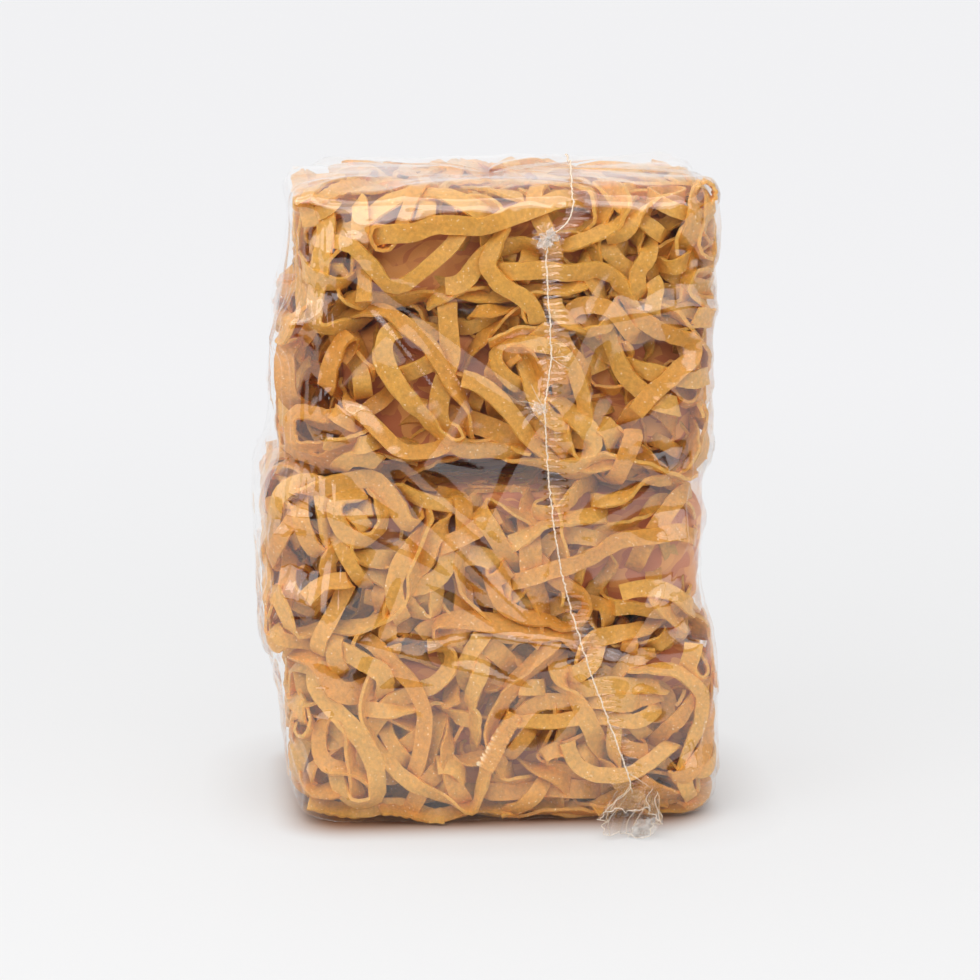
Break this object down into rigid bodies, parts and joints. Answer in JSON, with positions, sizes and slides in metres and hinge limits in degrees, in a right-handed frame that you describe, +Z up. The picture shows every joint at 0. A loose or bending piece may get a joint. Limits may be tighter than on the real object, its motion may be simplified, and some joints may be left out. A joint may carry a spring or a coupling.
{
  "type": "block of dried egg noodles",
  "caption": "Upright block of dried egg noodles: stacked cakes of broad curled noodles sealed in one tight clear film with a seam down the front and a gathered tail.",
  "frame": {"origin": "middle of the foot, under the centre of the whole block's box, tail included", "axes": "+Z up, the front with the film's seam faces -Y, +X to the viewer's right"},
  "size_m": [0.1156, 0.0874, 0.1633],
  "materials": {
    "noodle": "dried egg noodle, golden amber and satin, under a clear film",
    "film": "clear shrink film, glossy"
  },
  "bodies": {
    "root": {"noodle_pack": "noodle"}
  },
  "joints": []
}
